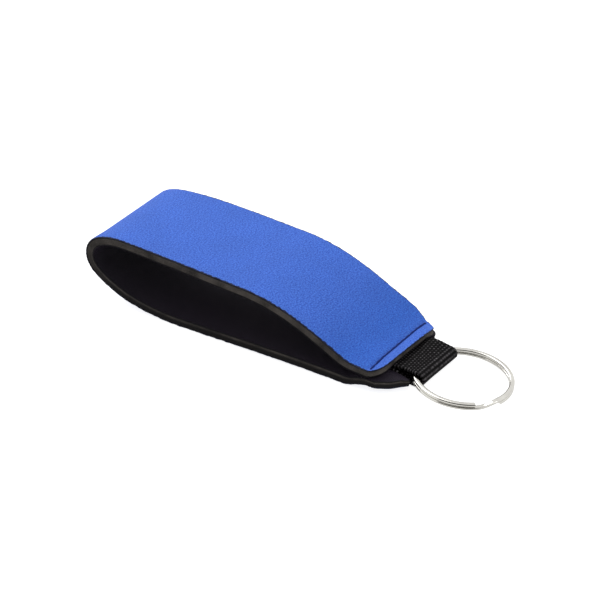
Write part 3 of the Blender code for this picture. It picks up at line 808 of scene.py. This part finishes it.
# %% Knit loops
sizes = {"Wale": 0.42 * MM, "Course": 0.34 * MM, "Unevenness": 0.35}
KNIT, given, result = new_group("knit_loops", sizes, ["Height"])
wobble = calc(KNIT, "SUBTRACT", noise(KNIT, given["Vector"], 900.0), 0.5)
shift = times(KNIT, wobble, given["Unevenness"])
wale = calc(KNIT, "DIVIDE", axis(KNIT, given["Vector"], "X"), given["Wale"])
wale = calc(KNIT, "ADD", wale, shift)
leaning = times(KNIT, calc(KNIT, "PINGPONG", wale, 0.5), 1.2)
course = calc(KNIT, "DIVIDE", axis(KNIT, given["Vector"], "Y"), given["Course"])
slanted = calc(KNIT, "ADD", calc(KNIT, "ADD", course, leaning), shift)
bead = calc(KNIT, "ABSOLUTE", calc(KNIT, "SINE", times(KNIT, slanted, pi)))
rope = calc(KNIT, "ABSOLUTE", calc(KNIT, "SINE", times(KNIT, wale, 2 * pi)))
height = calc(KNIT, "POWER", times(KNIT, calc(KNIT, "POWER", bead, 0.6), rope), 0.7)
KNIT.links.new(height, result["Height"])
print("group", KNIT.name, "has", len(KNIT.nodes), "nodes")

# %% [markdown]
# A fine noise stands for fibres and grain, a broad one for handling and wear. Each takes its size in
# metres.

# %% Fine grain and mottling
sizes = {"Grain Size": 0.4 * MM, "Mottle Size": 9 * MM}
GRAIN, given, result = new_group("grain_and_mottle", sizes, ["Fine", "Broad"])
fine_scale = calc(GRAIN, "DIVIDE", 1.0, given["Grain Size"])
broad_scale = calc(GRAIN, "DIVIDE", 1.0, given["Mottle Size"])
fine = noise(GRAIN, given["Vector"], fine_scale, detail=3.0, roughness=0.65)
GRAIN.links.new(fine, result["Fine"])
GRAIN.links.new(noise(GRAIN, given["Vector"], broad_scale), result["Broad"])
print("shared groups:", [g.name for g in bpy.data.node_groups])

# %% [markdown]
# ## Materials
#
# Every material starts from the same empty shell, a Principled BSDF with its fixed numbers set on its own
# sockets. What varies over the surface is linked.

# %% The shell of a material
def new_material(name, color, roughness, metallic=0.0, sheen=0.0, sheen_tint=(1, 1, 1), specular=0.5):
    material = bpy.data.materials.new(name)
    material.use_nodes = True
    shader = material.node_tree.nodes["Principled BSDF"]
    values = {"Base Color": (*color, 1.0), "Roughness": roughness, "Metallic": metallic,
              "Sheen Weight": sheen, "Sheen Roughness": 0.5, "Sheen Tint": (*sheen_tint, 1.0),
              "Specular IOR Level": specular}
    for label, value in values.items():
        shader.inputs[label].default_value = value
    return material, material.node_tree, shader


def cloth_place(tree):
    return add(tree, "ShaderNodeUVMap", uv_map="UVMap").outputs["UV"]


def object_place(tree):
    return add(tree, "ShaderNodeTexCoord").outputs["Object"]


def mask(tree, name):
    return add(tree, "ShaderNodeAttribute", attribute_name=name).outputs["Fac"]


def use_grain(tree, place, grain_size, mottle_size):
    values = {"Vector": place, "Grain Size": grain_size, "Mottle Size": mottle_size}
    node = add(tree, "ShaderNodeGroup", values, node_tree=GRAIN)
    return node.outputs["Fine"], node.outputs["Broad"]


def mix_colors(tree, factor, a, b, blend="MIX"):
    """Mixes two colours; a plain one is given as red, green and blue."""
    a, b = [(*color, 1.0) if isinstance(color, tuple) else color for color in (a, b)]
    values = {"Factor": factor, 6: a, 7: b}
    return add(tree, "ShaderNodeMix", values, data_type="RGBA", blend_type=blend).outputs[2]


def ramp(tree, factor, low, high):
    """Maps low..high to 0..1 and holds it there."""
    values = {"Value": factor, "From Min": low, "From Max": high}
    return add(tree, "ShaderNodeMapRange", values).outputs["Result"]


def finish(tree, shader, color, height, strength, distance):
    """Links the colour, and a bump made from the height."""
    tree.links.new(color, shader.inputs["Base Color"])
    values = {"Height": height, "Strength": strength, "Distance": distance}
    tree.links.new(add(tree, "ShaderNodeBump", values).outputs["Normal"], shader.inputs["Normal"])


# %% [markdown]
# ### Knit faces
#
# The knit is matte and fuzzy, so light comes off it softly at the edges (sheen). Its loops are about
# 0.4 mm wide: from the camera they blend into a fine speckle, and close up they read as rows. Over the
# last stretch of the slope up from the seam the colour is painted darker, as painted shade for the light
# that falls off where the band slopes down to the stitches. Beyond the cut the mask turns dark, because
# there one looks into the ends of the yarn, and noise nibbles at that line.

# %% Knit material
KNIT_ROUGHNESS, GROUND_SHARE, LOOP_SHARE = 0.62, 0.7, 0.3
# painted shade next to the seam: where it begins, where it is full, and its tint
SEAM_SHADE_FROM, SEAM_SHADE_TO, SEAM_SHADE_TINT = 24 * MM, 6 * MM, (0.55, 0.83, 0.89)
NIBBLE_SIZE, SIDE_NIBBLE, END_NIBBLE, CUT_SOFTNESS = 0.9 * MM, 1.0 * MM, 0.8 * MM, 0.12 * MM
SIDE_SPARE, END_SPARE = 0.15 * MM, 0.2 * MM


def past_line(tree, place, line, nibbles, nibble):
    """1 beyond a line in the knit, 0 before it, with noise nibbling at the line."""
    eaten = calc(tree, "SUBTRACT", line, times(tree, nibbles, nibble))
    return ramp(tree, calc(tree, "SUBTRACT", place, eaten), 0.0, CUT_SOFTNESS)


def cut_mask(tree, uv, run):
    """1 where one looks into the cut, at the sides and at both ends of the band."""
    nibbles = noise(tree, uv, 1 / NIBBLE_SIZE)
    across = calc(tree, "ABSOLUTE", axis(tree, uv, "X"))
    sides = past_line(tree, across, HALF_WIDTH + SIDE_SPARE, nibbles, SIDE_NIBBLE)
    middle_run = (band_run[-1] + LOWER_FLAP - UPPER_FLAP) / 2
    end_run = (band_run[-1] + LOWER_FLAP + UPPER_FLAP) / 2
    from_middle = calc(tree, "ABSOLUTE", calc(tree, "SUBTRACT", run, middle_run))
    ends = past_line(tree, from_middle, end_run + END_SPARE, nibbles, END_NIBBLE)
    inner = ramp(tree, mask(tree, "depth"), 0.02, 0.4)
    return calc(tree, "MAXIMUM", calc(tree, "MAXIMUM", inner, sides), ends)


def knit_material(name, light, dark, edge, sheen_tint, sheen, specular):
    material, tree, shader = new_material(name, light, KNIT_ROUGHNESS, sheen=sheen, sheen_tint=sheen_tint,
                                          specular=specular)
    uv = cloth_place(tree)
    run = axis(tree, uv, "Y")
    loops = add(tree, "ShaderNodeGroup", {"Vector": uv}, node_tree=KNIT).outputs["Height"]
    fine, broad = use_grain(tree, uv, 0.5 * MM, 11 * MM)
    ground = times(tree, ramp(tree, fine, 0.36, 0.62), GROUND_SHARE)
    # painted shade: the loops' height also darkens the colour in the gaps between the loops
    color = mix_colors(tree, calc(tree, "ADD", ground, times(tree, loops, LOOP_SHARE)), dark, light)
    mottle = calc(tree, "MULTIPLY_ADD", broad, 0.24, 0.88)
    gray = add(tree, "ShaderNodeCombineColor", {0: mottle, 1: mottle, 2: mottle}).outputs[0]
    color = mix_colors(tree, 1.0, color, gray, "MULTIPLY")
    # painted shade: the knit is darker over the stretch of slope next to the seam, where the light falls off
    seam_shaded_color = mix_colors(tree, 1.0, color, SEAM_SHADE_TINT, "MULTIPLY")
    seam_pinch_and_shade = times(tree, ramp(tree, run, SEAM_SHADE_FROM, SEAM_SHADE_TO), ramp(tree, run, 0.2 * MM, 1.2 * MM))
    color = mix_colors(tree, seam_pinch_and_shade, color, seam_shaded_color)
    color = mix_colors(tree, cut_mask(tree, uv, run), color, edge)
    height = calc(tree, "ADD", times(tree, loops, 0.5), fine)
    finish(tree, shader, color, height, strength=0.7, distance=0.14 * MM)
    return material


blue_knit = knit_material("blue_knit_finish", light=(0.085, 0.238, 0.83), dark=(0.002, 0.040, 0.43),
                          edge=(0.004, 0.007, 0.030), sheen_tint=(0.5, 0.62, 1.0), sheen=0.09, specular=0.22)
black_knit = knit_material("black_knit_finish", light=(0.018, 0.014, 0.0225), dark=(0.006, 0.0045, 0.008),
                           edge=(0.003, 0.003, 0.003), sheen_tint=(0.62, 0.5, 0.75), sheen=0.08,
                           specular=0.12)
print("knit materials:", blue_knit.name, black_knit.name)

# %% [markdown]
# ### Foam rubber
#
# The cut foam is grey-brown and full of tiny closed cells. A Voronoi texture gives cells of about
# 0.3 mm that catch the light at their rims. Under the knit its rim is dark with loose fibres. From the
# fold on, along the band's lower half, the cut face is painted darker towards the table as painted
# shade, where light from above does not reach. The part next to the lining keeps its full tone.

# %% Foam material
CELL_SIZE, FOAM_DARK, FOAM_LIGHT = 0.28 * MM, (0.008, 0.007, 0.0075), (0.110, 0.098, 0.088)

foam_finish, tree, shader = new_material("foam_finish", (0.05, 0.045, 0.04), 0.92, specular=0.3)
place = object_place(tree)
cells = add(tree, "ShaderNodeTexVoronoi", {"Vector": place, "Scale": 1 / CELL_SIZE}).outputs["Distance"]
fine, broad = use_grain(tree, place, 0.5 * MM, 6 * MM)
tone = calc(tree, "ADD", times(tree, ramp(tree, broad, 0.35, 0.65), 0.6), times(tree, cells, 0.5))
depth = mask(tree, "depth")
clean = ramp(tree, calc(tree, "SUBTRACT", depth, times(tree, fine, 0.12)), 0.04, 0.12)
# painted shade: from the fold on, the cut face darkens towards the table, all but the part next to the
# lining
painted_shade_lower_half = ramp(tree, axis(tree, cloth_place(tree), "Y"), nose_run - 6 * MM, nose_run + 14 * MM)
unshaded_share = calc(tree, "MAXIMUM", calc(tree, "SUBTRACT", 1.0, painted_shade_lower_half), ramp(tree, depth, 0.5, 0.85))
color = mix_colors(tree, times(tree, times(tree, tone, clean), unshaded_share), FOAM_DARK, FOAM_LIGHT)
finish(tree, shader, color, calc(tree, "ADD", cells, fine), strength=0.6, distance=0.08 * MM)
print("foam cells are", mm(CELL_SIZE, 2), "mm wide")

# %% [markdown]
# ### Webbing
#
# Its ribs and bars are already modelled, so the material only adds the yarn: fine lines along the warp,
# crests that are rubbed lighter in patches, and valleys painted near black as painted shade between the
# ribs and bars. The crests' grey is partly the yarn's tone and partly painted light.

# %% Webbing material
YARN_SCALE, PATCH_SIZE = (9000.0, 900.0, 1.0), 1.3 * MM
VALLEY_SHADE, CREST_GRAY = (0.0010, 0.0008, 0.0010), (0.150, 0.141, 0.151)

webbing_finish, tree, shader = new_material("webbing_finish", (0.02, 0.02, 0.022), 0.6, specular=0.06)
uv = cloth_place(tree)
fine, _ = use_grain(tree, uv, 0.3 * MM, 4 * MM)
stretched = add(tree, "ShaderNodeMapping", {"Vector": uv, "Scale": YARN_SCALE}).outputs["Vector"]
yarn = noise(tree, stretched, 1.0)
patches = ramp(tree, noise(tree, uv, 1 / PATCH_SIZE), 0.25, 0.7)
yarn_shade = times(tree, calc(tree, "MULTIPLY_ADD", yarn, 1.2, 0.3), patches)
# painted shade in the valleys between ribs and bars; the crests' grey is partly painted light
lit_crests_and_yarn = times(tree, ramp(tree, mask(tree, "crest"), 0.62, 1.0), yarn_shade)
color = mix_colors(tree, lit_crests_and_yarn, VALLEY_SHADE, CREST_GRAY)
tree.links.new(calc(tree, "MULTIPLY_ADD", fine, 0.3, 0.45), shader.inputs["Roughness"])
finish(tree, shader, color, calc(tree, "ADD", yarn, fine), strength=0.8, distance=0.10 * MM)

# %% [markdown]
# ### Thread
#
# The sewing thread is a darker blue with little shine. Fine grain stands for its filaments.

# %% Thread material
THREAD_DARK, THREAD_LIGHT = (0.002, 0.010, 0.10), (0.009, 0.036, 0.25)

thread_finish, tree, shader = new_material("thread_finish", (0.008, 0.03, 0.22), 0.6, specular=0.2)
fine, _ = use_grain(tree, object_place(tree), 0.12 * MM, 3 * MM)
color = mix_colors(tree, ramp(tree, fine, 0.3, 0.7), THREAD_DARK, THREAD_LIGHT)
finish(tree, shader, color, fine, strength=0.4, distance=0.03 * MM)

# %% [markdown]
# ### Nickel plate
#
# The ring is bright nickel. Use has left faint rubs and small stains, so its roughness and its tone vary,
# and a very weak bump breaks the mirror.

# %% Nickel material
NICKEL_DULL, NICKEL_BRIGHT = (0.62, 0.60, 0.56), (0.76, 0.75, 0.70)

nickel_finish, tree, shader = new_material("nickel_finish", (0.80, 0.77, 0.72), 0.16, metallic=1.0)
fine, broad = use_grain(tree, object_place(tree), 0.25 * MM, 5 * MM)
color = mix_colors(tree, ramp(tree, broad, 0.3, 0.7), NICKEL_DULL, NICKEL_BRIGHT)
tree.links.new(calc(tree, "MULTIPLY_ADD", fine, 0.07, 0.02), shader.inputs["Roughness"])
finish(tree, shader, color, fine, strength=0.06, distance=0.02 * MM)
print("materials:", [m.name for m in bpy.data.materials if m.name.endswith("_finish")])

# %% [markdown]
# ## Dressing the frame
#
# Every finer piece now takes its material, rides on the body that it belongs to, and stands for the plain
# solid of the same part.

# %% Materials, bodies and replaced solids
DRESS = [
    (blue_jersey, "outer_jersey", blue_knit, "blue_knit", "strap"),
    (foam_strip, "foam_core", foam_finish, "foam_rubber", "strap"),
    (black_lining, "lining_jersey", black_knit, "black_knit", "strap"),
    (web_tab, "webbing_tab", webbing_finish, "black_webbing", "strap"),
    (needle_thread, "top_stitching", thread_finish, "blue_thread", "strap"),
    (bobbin_thread, "bottom_stitching", thread_finish, "blue_thread", "strap"),
    (nickel_ring, "split_ring", nickel_finish, "nickel", "ring"),
]
for piece, node, material, slot, body in DRESS:
    piece.data.materials.clear()
    piece.data.materials.append(material)
    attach(piece, body)
    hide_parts(node)
    low, high = [np.array(corner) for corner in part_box(node)]
    places = np.array([v.co for v in piece.data.vertices])
    apart = np.abs([places.min(axis=0) - low, places.max(axis=0) - high]).max()
    print(piece.name, "stands for", node, "and its box differs by at most", mm(apart, 2), "mm")

# %% [markdown]
# The webbing's cut size is printed, measured along its middle. The band's length was measured round its
# outer face.

# %% Cloth and its cut size
print("webbing cut to", mm(web_run[-1]), "mm")

# %% [markdown]
# ## Table and light
#
# The photograph has a white ground with almost no shadow. The floor is a pale diffuse sheet that takes
# the strap's shadow. To the camera it adds some light of its own, so that it reads as white, and to
# metal that mirrors it a little less, so that the ring keeps its tone.

# %% Floor
OWN_LIGHT, MIRRORED_LIGHT = 0.85, 0.45

bpy.ops.object.select_all(action="DESELECT")
bpy.ops.mesh.primitive_plane_add(size=6.0, location=(0, 0, -0.0001))
floor = bpy.context.object
floor.name = "floor"
floor_finish, tree, shader = new_material("floor_finish", (0.5, 0.5, 0.5), 0.9)
path = add(tree, "ShaderNodeLightPath").outputs
mirrored = calc(tree, "MAXIMUM", path["Is Glossy Ray"], path["Is Transmission Ray"])
mirrored = times(tree, mirrored, MIRRORED_LIGHT)
own_light = calc(tree, "MULTIPLY_ADD", path["Is Camera Ray"], OWN_LIGHT, mirrored)
shader.inputs["Emission Color"].default_value = (1, 1, 1, 1)
tree.links.new(own_light, shader.inputs["Emission Strength"])
floor.data.materials.append(floor_finish)
print("floor is", round(floor.dimensions.x, 1), "m wide")

# %% [markdown]
# An even sky lights the strap from all sides, dimmer below the horizon. The camera and mirrors see it as
# plain white.

# %% World
HORIZON, WHITE = (0.18, 0.17, 0.16), (1.0, 1.0, 1.0)
SKY_STRENGTH = 0.65

world = bpy.data.worlds.new("studio")
bpy.context.scene.world = world
world.use_nodes = True
tree = world.node_tree
background = tree.nodes["Background"]
path = add(tree, "ShaderNodeLightPath").outputs
seen = calc(tree, "MAXIMUM", path["Is Camera Ray"], path["Is Glossy Ray"])
seen = calc(tree, "MAXIMUM", seen, path["Is Transmission Ray"])
direction = add(tree, "ShaderNodeTexCoord").outputs["Generated"]
sky = mix_colors(tree, ramp(tree, axis(tree, direction, "Z"), -0.05, 0.45), HORIZON, WHITE)
tree.links.new(mix_colors(tree, seen, sky, WHITE), background.inputs["Color"])
strength = calc(tree, "MULTIPLY_ADD", seen, 1 - SKY_STRENGTH, SKY_STRENGTH)
tree.links.new(strength, background.inputs["Strength"])
print("sky has", len(tree.nodes), "nodes")

# %% [markdown]
# Two large soft lamps stand over the table: the key beyond the folded end, a weak fill beside the ring.

# %% Lamps
def soft_lamp(name, place, size, watts):
    """A square lamp that faces the origin."""
    data = bpy.data.lights.new(name, "AREA")
    data.shape = "SQUARE"
    data.size = size
    data.energy = watts
    lamp = bpy.data.objects.new(name, data)
    lamp.location = place
    lamp.rotation_euler = Vector(place).to_track_quat("Z", "Y").to_euler()
    put_in_scene(lamp)


soft_lamp("key", place=(-0.55, 0.35, 0.75), size=0.7, watts=6.1)
soft_lamp("fill", place=(0.9, -0.1, 0.5), size=0.6, watts=1.6)

# %% [markdown]
# A bright ring on a white table would vanish. Two dark cards stand out of the picture, one beyond the
# camera and one low behind the strap. The rounded edges of the wire mirror them as thin dark lines.

# %% Dark cards for the metal
card_finish = new_material("card_finish", (0.02, 0.018, 0.016), 0.9)[0]
CAMERA_SIDE = -radians(58.9)


def dark_card(name, towards, distance, width, low, high):
    """An upright card that faces the strap, from one height to another."""
    place = Vector((cos(towards) * distance, sin(towards) * distance, (low + high) / 2))
    bpy.ops.mesh.primitive_plane_add(size=1.0, location=place, rotation=(pi / 2, 0, towards - pi / 2))
    card = bpy.context.object
    card.name = name
    card.scale = (width, high - low, 1.0)
    for ray in ("camera", "diffuse", "shadow"):
        setattr(card, "visible_" + ray, False)
    card.data.materials.append(card_finish)


dark_card("front_card", CAMERA_SIDE + radians(5), distance=1.2, width=4.0, low=0.02, high=2.8)
dark_card("back_card", CAMERA_SIDE + pi, distance=1.6, width=1.3, low=0.02, high=0.75)
print("cards stand", round(degrees(CAMERA_SIDE), 1), "degrees round from +X and opposite")
